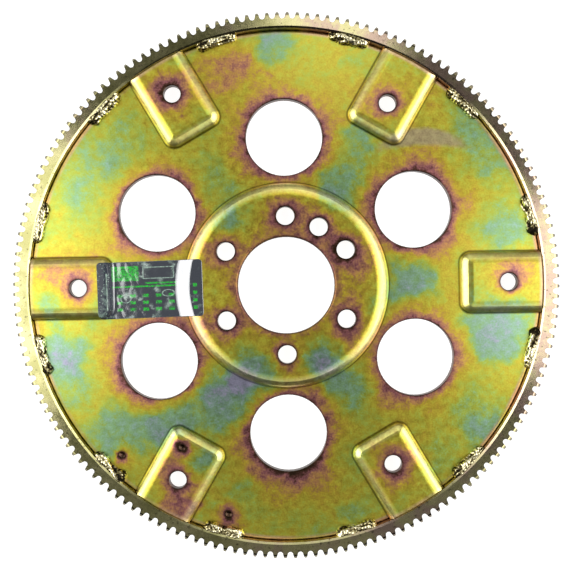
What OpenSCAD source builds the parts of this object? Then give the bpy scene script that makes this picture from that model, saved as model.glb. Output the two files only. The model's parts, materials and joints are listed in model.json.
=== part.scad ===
// Flexplate of an automatic transmission: a pressed steel plate inside a welded starter ring gear.
// The origin is on the crankshaft axis, on the face that seats against the crankshaft flange.
// +Z points to the torque converter. All sizes are in millimetres.

/* [Pressed plate] */
// Thickness of the steel sheet
sheet_t = 4.5; // [3.5:0.1:6]
// Height of the hub and the pads above the sheet
raise_h = 4.5; // [2.5:0.1:5.5]
// Radius of the soft shoulder round the hub and the pads
shoulder_r = 6; // [6:0.5:10]
// Height of the shoulder's full arc above the flat top, which cuts it at a fine edge
shoulder_crown = 0.1; // [0.08:0.01:0.3]
// Thickness of the wall between a raised area and the sheet
web_t = 5; // [3.5:0.5:7]
// Radius of the rolled front edge of the sheet
rim_edge_r = 1.6; // [0.5:0.1:2.5]
// Chamfer on the outer end of each pad
rim_chamfer = 0.8; // [0.3:0.1:1.5]
// Distance from the outer end of a pad to the edge of the sheet
pad_set_back = 0.3; // [0.1:0.1:0.5]
// Distance of a pad's round corners inside its straight sides
corner_ease = 0.1; // [0.05:0.01:0.2]
// Depth of the fine edge where a recess leaves the back face
mouth_break = 0.05; // [0.02:0.01:0.2]
// Edge break on the front of every punched hole
hole_break = 0.5; // [0.2:0.1:1]

/* [Hub] */
// Diameter of the raised hub at its foot
hub_d = 136; // [126:1:140]
// Diameter of the crankshaft pilot bore
pilot_d = 63.5; // [50:0.5:68]
// Chamfer on the front edge of the pilot bore
pilot_chamfer = 1.2; // [0.5:0.1:2]
// Bolt circle of the crankshaft bolts
crank_pcd = 90.93; // [86:0.01:98]
// Diameter of the crankshaft bolt holes
crank_hole_d = 12; // [9:0.1:13]
// Diameter of the circle that the locating dowel lies on
dowel_circle_d = 87.6; // [84:0.1:98]
// Diameter of the dowel hole
dowel_hole_d = 12; // [6:0.1:13]

/* [Converter pads] */
// Width of a pad at its foot
pad_w = 41.5; // [36:0.5:44]
// Distance from the axis to the inner foot of a pad
pad_start = 114.5; // [108:0.5:120]
// Plan radius of a pad's corners at its flat top
pad_corner_r = 1.7; // [1:0.1:6]
// Larger bolt circle of the torque converter
converter_outer_pcd = 292.1; // [285:0.1:310]
// Smaller bolt circle of the torque converter
converter_inner_pcd = 273.05; // [268:0.05:285]
// Diameter of the converter bolt holes
converter_hole_d = 11.3; // [9:0.1:13]
// Width of the plate outside the larger bolt circle
rim_margin = 22.85; // [18:0.05:30]

/* [Lightening holes] */
// Diameter of the circle that the lightening holes lie on
window_pcd = 196; // [192:1:202]
// Diameter of a lightening hole
window_d = 50.8; // [40:0.1:54]

/* [Balance drilling] */
// Diameter of the balancing drill
drill_d = 4.3; // [3:0.1:8]
// Depth of the straight part of a balance hole
drill_depth = 1.5; // [0.5:0.1:2]
// Point angle of the balancing drill
drill_point = 118; // [90:1:140]
// Width of the chisel edge at the drill's point
drill_chisel = 0.6; // [0.3:0.1:1]
// Distance from the axis to the two balance holes in the sheet
drill_sheet_radius = 156.5; // [145:0.5:158]
// Distance from the axis to the balance hole in a pad
drill_pad_radius = 126.5; // [124:0.5:130]

/* [Ring gear] */
// Module of the gear teeth
tooth_module = 2.1167; // [1.5:0.0001:3]
// Depth of a tooth from tip to root
tooth_depth = 5.2; // [3:0.1:5.5]
// Width of a tooth at its tip
tooth_tip_w = 1.5; // [1:0.1:2.2]
// Slope of a tooth's flank
flank_angle = 13; // [8:0.5:18]
// Relief of the round tooth root past the flanks
root_relief = 0.03; // [0.02:0.01:0.1]
// Thickness of the ring between its bore and the tooth roots
ring_rim = 5.6; // [4:0.1:9]
// Width of the ring along the axis
ring_w = 11; // [9.5:0.1:14]
// Clearance between the plate and the ring's bore
ring_gap = 0.1; // [0.05:0.05:0.3]
// Chamfer on the front edge of the ring's bore
bore_chamfer = 1; // [0.4:0.1:2]
// Width of the slight bevel that leads onto the tooth tips
tip_bevel = 1.3; // [0.5:0.1:2]
// Slope of that bevel
tip_bevel_angle = 20; // [10:1:30]
// Chamfer on the front of the tooth tips
tip_chamfer = 1.9; // [0.4:0.1:2.5]
// Edge break on the back of the ring
ring_break = 0.5; // [0.2:0.1:1]

/* [Stitch welds] */
// Length of one weld bead
bead_length = 28.5; // [20:0.5:36]
// Radius of the bead's rounded face
bead_r = 5.3; // [4.8:0.1:5.4]
// Distance of the bead's centre line outside the ring's bore
bead_set = 0.5; // [0.3:0.1:0.7]
// Distance of the bead's centre line below the sheet's front face
bead_sink = 1; // [0.8:0.1:1.4]
// Distance between the ripples of a bead
bead_ripple = 2.4; // [1.8:0.1:3.5]

/* [Sticker] */
// Length of the sticker
sticker_l = 69; // [50:1:76]
// Width of the sticker
sticker_w = 37.5; // [24:0.5:40]
// Radius of the sticker's corners
sticker_corner_r = 2.5; // [1:0.5:5]
// Thickness of the sticker's film
sticker_t = 0.2; // [0.1:0.05:0.4]
// Overlap of the sticker onto the hub
sticker_lap = 13.3; // [10:0.1:16]
// Offset of the sticker's centre line across the pad
sticker_shift = -1.4; // [-3:0.1:3]
// Turn of the sticker against the pad
sticker_turn = 1.3; // [-2:0.1:2]

/* [Hidden] */
$fn = 96;
// Steps round a form as wide as the plate
wide_fn = 360;
// Overlap that joins solids, and the reach of a cutter past the face that it cuts
bite = 2;
// Turned forms start on a line that runs clear of the pads and the holes
seam_angle = 12;

// Levels along the axis
seat_z = 0;
top_z = seat_z + sheet_t;
sheet_front_z = top_z - raise_h;
sheet_back_z = seat_z - raise_h;
ring_front_z = top_z;
ring_back_z = ring_front_z - ring_w;

// Patterns round the axis
pads = 6;
pad_step = 360 / pads;
pad_angles = [for (k = [0:pads - 1]) k * pad_step];
gap_angles = [for (a = pad_angles) a + pad_step / 2];
beads = 2 * pads;
bead_step = 360 / beads;
sticker_pad_angle = 180;
dowel_angle = pad_step;
drill_sheet_angles = [225, 255];
drill_pad_angle = 236.4;

// Radii worked out from the driving sizes
hub_r = hub_d / 2;
pilot_r = pilot_d / 2;
plate_r = converter_outer_pcd / 2 + rim_margin;
ring_bore_r = plate_r + ring_gap;
teeth = round(2 * (ring_bore_r + ring_rim + tooth_depth) / tooth_module) - 2;
tip_r = (teeth + 2) * tooth_module / 2;
root_r = tip_r - tooth_depth;

// A raised area's shoulder runs in by this much from its foot to its flat top
shoulder_run = sqrt(pow(shoulder_r, 2) - pow(shoulder_r - raise_h - shoulder_crown, 2));
pad_foot_r = max(shoulder_run, web_t) + pad_corner_r;
pad_reach = plate_r - pad_start + bite;
pad_end_w = pad_w - 2 * pad_foot_r;
pad_end_r = plate_r - pad_set_back;

// The soft edge of a recess has its centre this far above the recess floor
recess_rise = shoulder_r - raise_h - mouth_break;

// Space between two teeth: straight flanks that run tangent into a round root
gap_half_w = PI * tip_r / teeth - tooth_tip_w / 2;
gullet_r = (gap_half_w - tooth_depth * tan(flank_angle)) * cos(flank_angle) / (1 - sin(flank_angle));
gullet_centre = root_r + gullet_r;

// Row of ripples along one bead
bead_end = sqrt(pow(bead_r, 2) - pow(bead_sink, 2));
bead_path_r = ring_bore_r + bead_set;
ripples = round((bead_length - 2 * bead_end) / bead_ripple);
ripple_step = (bead_length - 2 * bead_end) / ripples / bead_path_r * 180 / PI;

function bead_name(k) = str("weld_bead_", k < 10 ? "0" : "", k);

// Copies of a child at a distance from the axis, one for each angle
module at_angles(angles, distance) {
    for (a = angles)
        rotate([0, 0, a])
            translate([distance, 0, 0])
                children();
}

// Section of a raised area: x runs inwards from its foot, y rises from the sheet's front face
module raised_section(length) {
    intersection() {
        translate([shoulder_run, raise_h + shoulder_crown - shoulder_r])
            circle(shoulder_r);
        translate([-shoulder_r, -bite])
            square([shoulder_r + shoulder_run, raise_h + bite]);
    }
    translate([shoulder_run, -bite])
        square([length - shoulder_run, raise_h + bite]);
}

// Section of the recess behind a raised area, in the same frame, with a soft edge at its mouth
module recess_section(length) {
    centre_y = raise_h - sheet_t + recess_rise;
    centre_x = web_t - sqrt(pow(shoulder_r, 2) - pow(recess_rise, 2));
    difference() {
        translate([centre_x, -sheet_t - bite])
            square([length - centre_x, raise_h + bite]);
        translate([centre_x, centre_y])
            circle(shoulder_r);
    }
}

// Section carried straight across the inner end of a pad
module pad_end() {
    translate([pad_start, 0, sheet_front_z])
        rotate([90, 0, 0])
            linear_extrude(pad_end_w, center = true)
                children();
}

// Section carried along both sides of a pad
module pad_sides() {
    for (side = [0, 1])
        mirror([0, side, 0])
            translate([pad_start + pad_foot_r, -pad_w / 2, sheet_front_z])
                rotate([90, 0, 90])
                    linear_extrude(pad_reach - pad_foot_r)
                        children();
}

// Section turned about the centres of a pad's two inner corners, a hair inside the straight sides
module pad_corners() {
    for (side = [-1, 1])
        translate([pad_start + pad_foot_r, side * pad_end_w / 2, sheet_front_z])
            rotate_extrude()
                intersection() {
                    translate([pad_foot_r - corner_ease, 0])
                        mirror([1, 0])
                            children();
                    translate([0, -pad_w])
                        square(2 * pad_w);
                }
}

module pad_form() {
    pad_end()
        raised_section(pad_reach);
    pad_sides()
        raised_section(pad_foot_r + bite);
    pad_corners()
        raised_section(pad_foot_r + bite);
}

module pad_recess() {
    pad_end()
        recess_section(pad_reach);
    pad_sides()
        recess_section(pad_foot_r + bite);
    pad_corners()
        recess_section(pad_foot_r + bite);
}

// Section of the sheet with its rolled front edge, from an inner radius outwards
module sheet_section(inner_r, depth) {
    difference() {
        translate([inner_r, sheet_front_z - depth])
            square([plate_r - inner_r, depth]);
        translate([plate_r - rim_edge_r, sheet_front_z - rim_edge_r])
            difference() {
                square(rim_edge_r + bite);
                circle(rim_edge_r);
            }
    }
}

// Section of the sheet and the hub together, with the hub's back recess
module plate_section() {
    difference() {
        union() {
            sheet_section(pilot_r, sheet_t);
            translate([hub_r, sheet_front_z])
                mirror([1, 0])
                    raised_section(hub_r - pilot_r);
        }
        translate([hub_r, sheet_front_z])
            mirror([1, 0])
                recess_section(hub_r);
        polygon([
            [pilot_r - bite, top_z + bite],
            [pilot_r - bite, top_z - pilot_chamfer - bite],
            [pilot_r + pilot_chamfer + bite, top_z + bite]
        ]);
    }
}

// Space inside the ring that the pads may fill, with the chamfer on their outer ends
module rim_envelope() {
    rotate([0, 0, seam_angle])
        rotate_extrude($fn = wide_fn)
            polygon([
                [0, sheet_back_z],
                [pad_end_r, sheet_back_z],
                [pad_end_r, top_z - rim_chamfer],
                [pad_end_r - rim_chamfer - bite, top_z + bite],
                [0, top_z + bite]
            ]);
}

// Sheet and hub in one turned form
module turned_form() {
    rotate([0, 0, seam_angle])
        rotate_extrude($fn = wide_fn)
            plate_section();
}

module formed_pads(angles) {
    intersection() {
        at_angles(angles, 0)
            pad_form();
        rim_envelope();
    }
}

// Punched hole with an edge break on its front face
module punched_hole(diameter, front_z) {
    r = diameter / 2;
    translate([0, 0, sheet_back_z - bite])
        cylinder(r = r, h = front_z - sheet_back_z + 2 * bite);
    translate([0, 0, front_z - hole_break])
        cylinder(r1 = r, r2 = r + hole_break + bite, h = hole_break + bite);
}

// Blind balance hole with the drill's point at its bottom
module balance_hole(front_z) {
    point_h = (drill_d - drill_chisel) / 2 / tan(drill_point / 2);
    translate([0, 0, front_z - drill_depth])
        cylinder(d = drill_d, h = drill_depth + bite);
    translate([0, 0, front_z - drill_depth - point_h])
        cylinder(d1 = drill_chisel, d2 = drill_d, h = point_h);
}

module hub_holes() {
    at_angles(gap_angles, crank_pcd / 2)
        punched_hole(crank_hole_d, top_z);
    at_angles([dowel_angle], dowel_circle_d / 2)
        punched_hole(dowel_hole_d, top_z);
}

module window_holes() {
    at_angles(gap_angles, window_pcd / 2)
        punched_hole(window_d, sheet_front_z);
}

module converter_holes() {
    at_angles([for (k = [0:2:pads - 1]) pad_angles[k]], converter_outer_pcd / 2)
        punched_hole(converter_hole_d, top_z);
    at_angles([for (k = [1:2:pads - 1]) pad_angles[k]], converter_inner_pcd / 2)
        punched_hole(converter_hole_d, top_z);
}

module plate() {
    color("#b3a24f")
        difference() {
            union() {
                turned_form();
                formed_pads(pad_angles);
            }
            at_angles(pad_angles, 0)
                pad_recess();
            hub_holes();
            window_holes();
            converter_holes();
            at_angles(drill_sheet_angles, drill_sheet_radius)
                balance_hole(sheet_front_z);
            at_angles([drill_pad_angle], drill_pad_radius)
                balance_hole(top_z);
        }
}

// Section of the ring, with its chamfers and room for the teeth outside
module ring_section() {
    outer_r = tip_r + bite;
    chamfer_z = ring_front_z - tip_bevel * tan(tip_bevel_angle);
    polygon([
        [ring_bore_r, ring_back_z + ring_break],
        [ring_bore_r + ring_break, ring_back_z],
        [tip_r - ring_break, ring_back_z],
        [outer_r, ring_back_z + ring_break + bite],
        [outer_r, chamfer_z - tip_chamfer - bite],
        [tip_r - tip_chamfer, chamfer_z],
        [tip_r - tip_chamfer - tip_bevel, ring_front_z],
        [ring_bore_r + bore_chamfer, ring_front_z],
        [ring_bore_r, ring_front_z - bore_chamfer]
    ]);
}

// Space between two teeth, symmetrical about the x axis
module tooth_gap() {
    foot_x = gullet_centre - gullet_r * sin(flank_angle);
    foot_y = gullet_r * cos(flank_angle);
    mouth_x = tip_r + bite;
    mouth_y = foot_y + (mouth_x - foot_x) * tan(flank_angle);
    polygon([[foot_x, -foot_y], [mouth_x, -mouth_y], [mouth_x, mouth_y], [foot_x, foot_y]]);
    translate([gullet_centre, 0])
        circle(gullet_r + root_relief);
}

module ring_gear() {
    color("#a09555")
        intersection() {
            translate([0, 0, ring_back_z - bite])
                linear_extrude(ring_w + 2 * bite)
                    difference() {
                        circle(tip_r);
                        for (k = [0:teeth - 1])
                            rotate(k * 360 / teeth)
                                tooth_gap();
                    }
            rotate_extrude($fn = wide_fn)
                ring_section();
        }
}

// Section of the corner that a bead lies in: the sheet's edge, the groove beside it and the ring's bore
module weld_corner_section() {
    depth = 2 * bead_r;
    groove_z = sheet_front_z - rim_edge_r;
    chamfer_z = ring_front_z - bore_chamfer;
    sheet_section(hub_r, depth);
    polygon([
        [plate_r - rim_edge_r, groove_z],
        [plate_r - rim_edge_r, groove_z - depth],
        [ring_bore_r + depth, groove_z - depth],
        [ring_bore_r + depth, chamfer_z + depth],
        [ring_bore_r, chamfer_z],
        [ring_bore_r, groove_z]
    ]);
}

// Fillet weld in the corner between the sheet's front face and the ring's bore
module weld_bead(k) {
    color("#8f8a6a")
        rotate([0, 0, (k - 0.5) * bead_step])
            difference() {
                for (i = [0:ripples])
                    rotate([0, 0, (i - ripples / 2) * ripple_step])
                        translate([bead_path_r, 0, sheet_front_z - bead_sink])
                            sphere(bead_r);
                rotate([0, 0, 180])
                    rotate_extrude($fn = wide_fn)
                        weld_corner_section();
            }
}

// Outline of the sticker, centred on the origin
module sticker_outline() {
    r = sticker_corner_r;
    square([sticker_l - 2 * r, sticker_w], center = true);
    square([sticker_l, sticker_w - 2 * r], center = true);
    for (x = [-1, 1], y = [-1, 1])
        translate([x * (sticker_l / 2 - r), y * (sticker_w / 2 - r)])
            circle(r);
}

// Front form that the sticker lies on
module sticker_bed() {
    turned_form();
    formed_pads([sticker_pad_angle]);
}

// Film that follows the hub's shoulder, the sheet and the end of one pad
module sticker() {
    centre_x = sticker_lap - hub_r - sticker_l / 2;
    color("#3d4540")
        difference() {
            intersection() {
                translate([centre_x, sticker_shift, sheet_back_z])
                    rotate([0, 0, sticker_turn])
                        linear_extrude(sheet_t + 2 * raise_h)
                            sticker_outline();
                translate([0, 0, sticker_t])
                    sticker_bed();
            }
            sticker_bed();
            window_holes();
            hub_holes();
        }
}

plate();
ring_gear();
sticker();
for (k = [1:beads])
    weld_bead(k);
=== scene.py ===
"""Looks of a flexplate: plated steel, a machined starter ring, stitch welds and a printed film."""

import json
import math
from typing import NamedTuple

import bpy
import numpy as np
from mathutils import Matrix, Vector


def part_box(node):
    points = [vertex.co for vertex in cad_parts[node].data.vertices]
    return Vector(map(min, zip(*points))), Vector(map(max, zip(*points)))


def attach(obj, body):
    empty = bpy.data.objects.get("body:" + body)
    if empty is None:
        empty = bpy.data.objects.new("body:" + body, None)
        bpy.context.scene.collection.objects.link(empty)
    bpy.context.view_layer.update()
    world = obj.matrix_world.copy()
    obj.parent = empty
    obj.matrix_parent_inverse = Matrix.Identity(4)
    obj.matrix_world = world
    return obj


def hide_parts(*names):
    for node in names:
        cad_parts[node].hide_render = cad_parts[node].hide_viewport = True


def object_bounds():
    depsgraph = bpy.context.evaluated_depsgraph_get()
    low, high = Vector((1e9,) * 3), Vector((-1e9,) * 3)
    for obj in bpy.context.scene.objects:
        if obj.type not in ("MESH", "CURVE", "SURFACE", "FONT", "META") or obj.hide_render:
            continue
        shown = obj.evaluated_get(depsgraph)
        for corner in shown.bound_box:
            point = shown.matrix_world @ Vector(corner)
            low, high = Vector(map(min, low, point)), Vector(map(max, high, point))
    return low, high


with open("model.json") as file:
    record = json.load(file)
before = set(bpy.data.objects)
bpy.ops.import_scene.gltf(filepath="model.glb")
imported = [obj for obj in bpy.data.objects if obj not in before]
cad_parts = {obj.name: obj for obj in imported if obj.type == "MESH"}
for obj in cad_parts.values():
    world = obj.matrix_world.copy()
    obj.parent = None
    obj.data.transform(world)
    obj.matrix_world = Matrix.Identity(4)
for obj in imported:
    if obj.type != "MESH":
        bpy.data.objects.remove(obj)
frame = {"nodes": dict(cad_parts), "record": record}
CAD_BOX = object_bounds()

bl_info = {
    "name": "Flexplate looks",
    "version": (1, 0, 0),
    "blender": (4, 5, 0),
    "location": "3D View > Sidebar > Flexplate",
    "description": "Finishes, weld beads, film and studio stage for a packed flexplate",
    "category": "Object",
}

MM = 0.001
BODY = "root"
MOUNTS = {mount["name"]: mount for mount in frame["record"]["mounts"]}
WELD_NODES = sorted(name for name in frame["nodes"] if name.startswith("weld_bead_"))


def mount_size(name, key):
    """A size of one of the record's mounts, in metres."""
    return MOUNTS[name]["dims"][key] * MM


PILOT_R = mount_size("crank_pilot_bore", "r_mm")
CRANK_CIRCLE_R = mount_size("crank_bolts", "pcd_mm") / 2
CRANK_HOLE_R = mount_size("crank_bolts", "hole_r_mm")
DOWEL_HOLE_R = mount_size("crank_dowel_hole", "r_mm")
DOWEL_X, DOWEL_Y = MOUNTS["crank_dowel_hole"]["pos_m"][:2]
OUTER_CIRCLE_R = mount_size("converter_bolts_outer", "pcd_mm") / 2
INNER_CIRCLE_R = mount_size("converter_bolts_inner", "pcd_mm") / 2
CONVERTER_HOLE_R = mount_size("converter_bolts_outer", "hole_r_mm")
WINDOW_CIRCLE_R = 98 * MM
WINDOW_R = 25.4 * MM
PLATE_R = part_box("plate")[1].x
RING_BORE_R = PLATE_R + 0.1 * MM
TOP_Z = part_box("plate")[1].z
SHEET_Z = 0.0
HUB_FOOT_R = 68 * MM
SHOULDER_R = 6 * MM
SHOULDER_CROWN = 0.1 * MM
PAD_START = 114.5 * MM
PAD_WIDTH = 41.5 * MM
PAD_CORNER_R = 7.5 * MM
PADS = 6
STICKER_PAD_ANGLE = math.pi
BRIDGE_SLOPE = math.radians(28)
BALANCE_HOLE_R = 2.15 * MM
TEETH = 168
TIP_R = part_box("ring_gear")[1].x
ROOT_R = TIP_R - 5.2 * MM
TOOTH_TIP_W = 1.5 * MM
TOOTH_SLOPE = math.radians(13)
EDGE_WIDTH = 0.55 * MM
SMEAR_CENTRE = (92 * MM, 97 * MM, 0.0)
SMEAR_LENGTH = 34 * MM
SMEAR_WIDTH = 7 * MM
SMEAR_BEND = 9 * MM
NEAR_SIDE = math.radians(264)
ABOVE_SHEET_BACK = -4.4 * MM
ABOVE_PAD_BACK = 0.1 * MM
# Blind drillings: distance from the axis, angle in degrees and a height just above the face behind
BALANCE_HOLES = (
    (156.5 * MM, 225, ABOVE_SHEET_BACK),
    (156.5 * MM, 255, ABOVE_SHEET_BACK),
    (126.5 * MM, 236.4, ABOVE_PAD_BACK),
)
# Widths of the dark line of painted shade round the large holes and round the small ones
LARGE_EDGE = 1.0 * MM
SMALL_EDGE = 1.9 * MM

# Thickness of the plating's film at which each colour is pure
FILM_STOPS = (
    ("soot_and_shade", -0.04),
    ("umber", 0.06),
    ("mauve", 0.17),
    ("copper", 0.31),
    ("gold", 0.43),
    ("straw", 0.55),
    ("leaf", 0.66),
    ("teal", 0.77),
    ("slate", 0.88),
    ("violet", 1.0),
)

# Tints of the plating that drift from the rest: x, y and radius in millimetres, then the shift of the film
COOL_TINTS = (
    (-99, 99, 31, 0.09),
    (-125, 83, 24, 0.08),
    (-131, 68, 26, 0.07),
    (-134, 46, 24, 0.07),
    (-43, 69, 24, 0.18),
    (-5, 161, 19, 0.22),
    (36, 68, 20, 0.31),
    (48, 97, 18, 0.20),
    (133, 85, 26, 0.18),
    (118, 108, 19, 0.14),
    (143, 36, 22, 0.18),
    (85, 3, 18, 0.27),
    (92, -14, 16, 0.10),
    (142, -35, 26, 0.31),
    (130, -96, 16, 0.23),
    (102, -72, 29, 0.07),
    (39, -71, 22, 0.29),
    (-77, -87, 22, 0.38),
    (-38, -76, 26, 0.36),
    (-108, -94, 28, 0.22),
    (-142, -63, 26, 0.18),
    (-147, -41, 22, 0.25),
    (-32, -143, 16, 0.16),
    (41, -149, 14, 0.16),
    (-57, -115, 14, 0.25),
    (-38, 44, 13, 0.20),
    (-25, -57, 20, 0.30),
    (-4, -60, 16, 0.16),
    (-128, -14, 15, 0.20),
    (-150, -12, 14, 0.16),
    (128, -6, 18, 0.12),
    (23, -49, 20, 0.34),
)
WARM_TINTS = (
    (-40, 138, 24, -0.20),
    (-24, 148, 20, -0.10),
    (-75, 128, 18, -0.10),
    (22, 35, 20, -0.13),
    (38, 22, 16, -0.06),
    (-160, 8, 14, -0.14),
    (1, -131, 28, -0.14),
    (54, 14, 14, -0.10),
    (14, 56, 14, -0.10),
    (38, -38, 14, -0.08),
    (94, 80, 22, -0.12),
    (-73, -146, 16, -0.24),
    (72, -133, 12, -0.10),
)

SOFTBOX_ELEVATION = math.radians(58)
SOFTBOX_DISTANCE = 1.18
SOFTBOX_HEIGHT = 0.45
# Soft lamps: name, azimuth in degrees, width in metres and radiance
SOFTBOXES = (
    ("left_softbox", 176, 0.62, 1.7),
    ("right_softbox", 0, 0.40, 1.6),
    ("far_softbox", 80, 0.30, 1.3),
)


class HoleRow(NamedTuple):
    """A ring of equal holes, the reach and weight of the halo round each, and where the halo shows."""

    holes: int
    first: float
    circle: float
    radius: float
    reach: float
    weight: float
    shown: object = 1.0


def srgb(red, green, blue):
    """A colour given in the usual 0 to 255 steps, as linear values."""
    steps = np.array((red, green, blue)) / 255
    return tuple(np.where(steps <= 0.04045, steps / 12.92, ((steps + 0.055) / 1.055) ** 2.4).tolist())


def colour_property(name, description, default):
    """A colour that a user may change."""
    return bpy.props.FloatVectorProperty(
        name=name, description=description, subtype="COLOR", size=3, min=0.0, max=1.0, default=default
    )


def length_property(name, description, default):
    """A length in metres that a user may change."""
    return bpy.props.FloatProperty(
        name=name, description=description, unit="LENGTH", min=0.0, precision=5, default=default
    )


def factor_property(name, description, default):
    """A share from 0 to 1 that a user may change."""
    return bpy.props.FloatProperty(
        name=name, description=description, subtype="FACTOR", min=0.0, max=1.0, default=default
    )


def level_property(name, description, default):
    """A brightness that a user may change."""
    return bpy.props.FloatProperty(name=name, description=description, min=0.0, default=default)


class PlatingSettings(bpy.types.PropertyGroup):
    """Colours and grain of the yellow zinc plating."""

    # Also the colour of the painted shade at the hole rims and at the feet of the hub and the pads
    soot_and_shade: colour_property("Soot", "Film at the very edge of a hole", srgb(62, 44, 30))
    umber: colour_property("Umber", "Film close to a hole", srgb(108, 70, 62))
    mauve: colour_property("Mauve", "Film in the halo round a hole", srgb(166, 106, 108))
    copper: colour_property("Copper", "Film where a halo fades", srgb(202, 148, 96))
    gold: colour_property("Gold", "Thin film of the open sheet", srgb(204, 176, 62))
    straw: colour_property("Straw", "Usual film of the open sheet", srgb(198, 190, 66))
    leaf: colour_property("Leaf", "Thicker film", srgb(172, 190, 82))
    teal: colour_property("Teal", "Thick film", srgb(142, 182, 126))
    slate: colour_property("Slate", "Very thick film", srgb(142, 174, 154))
    violet: colour_property("Violet", "Thickest film", srgb(160, 158, 180))
    # Pale colour that paints a highlight on the raised shoulders
    shoulder_highlight_colour: colour_property("Rubbed", "Pale metal on the raised shoulders", srgb(240, 228, 172))
    smear: colour_property("Smear", "Dry smear beside a pad", srgb(180, 164, 134))
    # Pale colour that paints a reflection on the rounded rim of the sheet
    rim: colour_property("Rim", "Rolled edge of the sheet", srgb(232, 192, 158))
    patch_size: length_property("Patch size", "Size of the soft colour patches", 45 * MM)
    grain_size: length_property("Grain size", "Size of the fine mottling", 1.2 * MM)
    roughness: factor_property("Roughness", "Mean roughness of the plated sheet", 0.33)


class RingSettings(bpy.types.PropertyGroup):
    """Colours and turning marks of the starter ring."""

    straw: colour_property("Straw", "Usual colour of the ring", srgb(198, 191, 140))
    olive: colour_property("Olive", "Darker patches of the ring", srgb(166, 162, 108))
    rose: colour_property("Rose", "Warm patches of the ring", srgb(182, 158, 140))
    # Dark colour for dirt specks and for painted shade on the teeth
    grime_and_shade: colour_property("Grime", "Dirt in the corners and on the flanks", srgb(70, 62, 42))
    turning_pitch: length_property("Turning pitch", "Distance between turning marks", 0.45 * MM)
    roughness: factor_property("Roughness", "Mean roughness of the ring", 0.15)


class WeldSettings(bpy.types.PropertyGroup):
    """Shape and colours of the stitch welds."""

    length: length_property("Length", "Length of one bead", 28.5 * MM)
    width: length_property("Width", "Reach of a bead over the sheet", 4.7 * MM)
    height: length_property("Height", "Reach of a bead up the ring", 3.9 * MM)
    ripple_pitch: length_property("Ripple pitch", "Distance between ripples", 2.4 * MM)
    ripple_height: length_property("Ripple height", "Height of a ripple", 0.08 * MM)
    lump_height: length_property("Lump height", "Height of the long lumps", 0.32 * MM)
    # Pale colour that paints a highlight on the lumps
    crest: colour_property("Crest", "Bright metal on the lumps", srgb(214, 206, 168))
    flank: colour_property("Flank", "Tarnished metal between the lumps", srgb(128, 116, 74))
    # Dark colour for slag and for painted shade in the valleys
    valley_shade_and_slag: colour_property("Valley", "Slag in the valleys", srgb(30, 26, 18))


class StickerSettings(bpy.types.PropertyGroup):
    """Size and colours of the printed film."""

    length: length_property("Length", "Length of the film", 69 * MM)
    width: length_property("Width", "Width of the film", 37.5 * MM)
    corner: length_property("Corner", "Radius of the film's corners", 2.5 * MM)
    thickness: length_property("Thickness", "Thickness of the film", 0.2 * MM)
    lap: length_property("Lap", "Overlap of the film onto the hub", 13.3 * MM)
    drift: bpy.props.FloatProperty(
        name="Drift", description="Offset across the pad", unit="LENGTH", precision=5, default=-1.4 * MM
    )
    turn: bpy.props.FloatProperty(
        name="Turn", description="Turn against the pad", subtype="ANGLE", default=math.radians(1.3)
    )
    gloss: bpy.props.FloatProperty(
        name="Gloss", description="Refractive index that sets the film's shine", min=1.0, default=2.6
    )
    film: colour_property("Film", "Dark ground of the film", srgb(46, 50, 58))
    green: colour_property("Green", "Printed fields", srgb(10, 168, 34))
    # Also the colour of the painted glints near the film's outer end
    pale_ink_and_glint: colour_property("Pale", "Thin printed lines", srgb(150, 176, 160))


class StageSettings(bpy.types.PropertyGroup):
    """Camera, floor and lamps."""

    lens: bpy.props.FloatProperty(name="Lens", description="Focal length in millimetres", default=38.0)
    sensor: bpy.props.FloatProperty(name="Sensor", description="Sensor width in millimetres", default=36.0)
    height: length_property("Height", "Height of the camera above the hub", 398 * MM)
    roll: bpy.props.FloatProperty(
        name="Roll", description="Turn of the camera about its view", subtype="ANGLE",
        default=math.radians(-0.9)
    )
    aside: bpy.props.FloatVectorProperty(
        name="Aside", description="Place of the camera beside the axis", size=2, unit="LENGTH",
        precision=5, default=(1.1 * MM, -1.9 * MM)
    )
    floor: colour_property("Floor", "Colour of the floor", (0.9, 0.9, 0.9))
    floor_glow: factor_property("Floor glow", "Share of the floor that stays white", 0.92)
    sky_dark: level_property("Dark studio", "Brightness overhead and at the near side", 0.12)
    sky_near: level_property("Near wall", "Brightness of the top of the near wall", 1.0)
    sky_far: level_property("Far wall", "Brightness of the far wall", 1.1)
    sky_side: level_property("Side walls", "Brightness of the walls at the left and the right", 2.4)


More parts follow.
